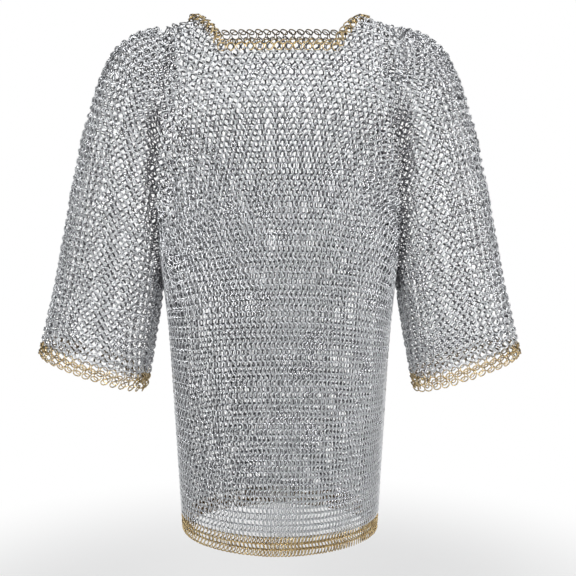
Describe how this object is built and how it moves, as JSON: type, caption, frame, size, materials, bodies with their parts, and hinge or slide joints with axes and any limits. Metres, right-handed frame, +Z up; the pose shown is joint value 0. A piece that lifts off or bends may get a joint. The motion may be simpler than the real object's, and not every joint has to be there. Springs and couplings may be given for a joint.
{
  "type": "mail shirt",
  "caption": "Short-sleeved mail shirt of linked steel rings with brass rings at the neck, cuffs and hem, hanging open as worn.",
  "frame": {"origin": "midway between the two shoulders, at the height where the shirt rests on them", "axes": "+Z up, -Y to the front of the shirt, +X to the sleeve on the right of a viewer who faces the front"},
  "size_m": [0.747, 0.24, 0.7774],
  "materials": {
    "steel_rings": "bright zinc-plated drawn wire, butted rings",
    "brass_rings": "drawn brass wire, slightly dulled, butted rings"
  },
  "bodies": {
    "torso": {"neck_trim_front": "brass_rings", "neck_trim_back": "brass_rings", "neck_trim_left": "brass_rings", "neck_trim_right": "brass_rings", "front_yoke": "steel_rings", "back_yoke": "steel_rings", "left_shoulder_strap": "steel_rings", "right_shoulder_strap": "steel_rings", "chest_panel": "steel_rings", "upper_back_panel": "steel_rings", "front_body_panel": "steel_rings", "back_body_panel": "steel_rings", "left_side_panel": "steel_rings", "right_side_panel": "steel_rings"},
    "waist": {"waist_band_front": "steel_rings", "waist_band_back": "steel_rings"},
    "skirt": {"front_skirt_panel": "steel_rings", "back_skirt_panel": "steel_rings", "left_skirt_side": "steel_rings", "right_skirt_side": "steel_rings", "front_hem_trim": "brass_rings", "back_hem_trim": "brass_rings"},
    "left_upper_sleeve": {"left_armhole_band_front": "steel_rings", "left_armhole_band_back": "steel_rings", "left_upper_sleeve_front": "steel_rings", "left_upper_sleeve_back": "steel_rings"},
    "left_lower_sleeve": {"left_elbow_band_front": "steel_rings", "left_elbow_band_back": "steel_rings", "left_lower_sleeve_front": "steel_rings", "left_lower_sleeve_back": "steel_rings", "left_cuff_trim_front": "brass_rings", "left_cuff_trim_back": "brass_rings"},
    "right_upper_sleeve": {"right_armhole_band_front": "steel_rings", "right_armhole_band_back": "steel_rings", "right_upper_sleeve_front": "steel_rings", "right_upper_sleeve_back": "steel_rings"},
    "right_lower_sleeve": {"right_elbow_band_front": "steel_rings", "right_elbow_band_back": "steel_rings", "right_lower_sleeve_front": "steel_rings", "right_lower_sleeve_back": "steel_rings", "right_cuff_trim_front": "brass_rings", "right_cuff_trim_back": "brass_rings"}
  },
  "joints": [
    {"name": "skirt_sway", "type": "hinge", "parent": "torso", "child": "waist", "pos_m": [0, 0, -0.475], "axis": [0, 1, 0], "range_deg": [-8, 8], "deforming": ["waist_band_front", "waist_band_back"]},
    {"name": "skirt_swing", "type": "hinge", "parent": "waist", "child": "skirt", "pos_m": [0, -0.007, -0.545], "axis": [1, 0, 0], "range_deg": [-12, 12]},
    {"name": "left_sleeve_lift", "type": "hinge", "parent": "torso", "child": "left_upper_sleeve", "pos_m": [0.1765, 0, -0.2], "axis": [0, -1, 0], "range_deg": [0, 28], "deforming": ["left_armhole_band_front", "left_armhole_band_back"]},
    {"name": "right_sleeve_lift", "type": "hinge", "parent": "torso", "child": "right_upper_sleeve", "pos_m": [-0.1765, 0, -0.2], "axis": [0, 1, 0], "range_deg": [0, 28], "deforming": ["right_armhole_band_front", "right_armhole_band_back"]},
    {"name": "left_sleeve_swing", "type": "hinge", "parent": "left_upper_sleeve", "child": "left_lower_sleeve", "pos_m": [0.25177, 0.0134, -0.3623], "axis": [-1, 0, 0], "range_deg": [-15, 20], "deforming": ["left_elbow_band_front", "left_elbow_band_back"]},
    {"name": "right_sleeve_swing", "type": "hinge", "parent": "right_upper_sleeve", "child": "right_lower_sleeve", "pos_m": [-0.25177, 0.0134, -0.3623], "axis": [-1, 0, 0], "range_deg": [-15, 20], "deforming": ["right_elbow_band_front", "right_elbow_band_back"]}
  ]
}
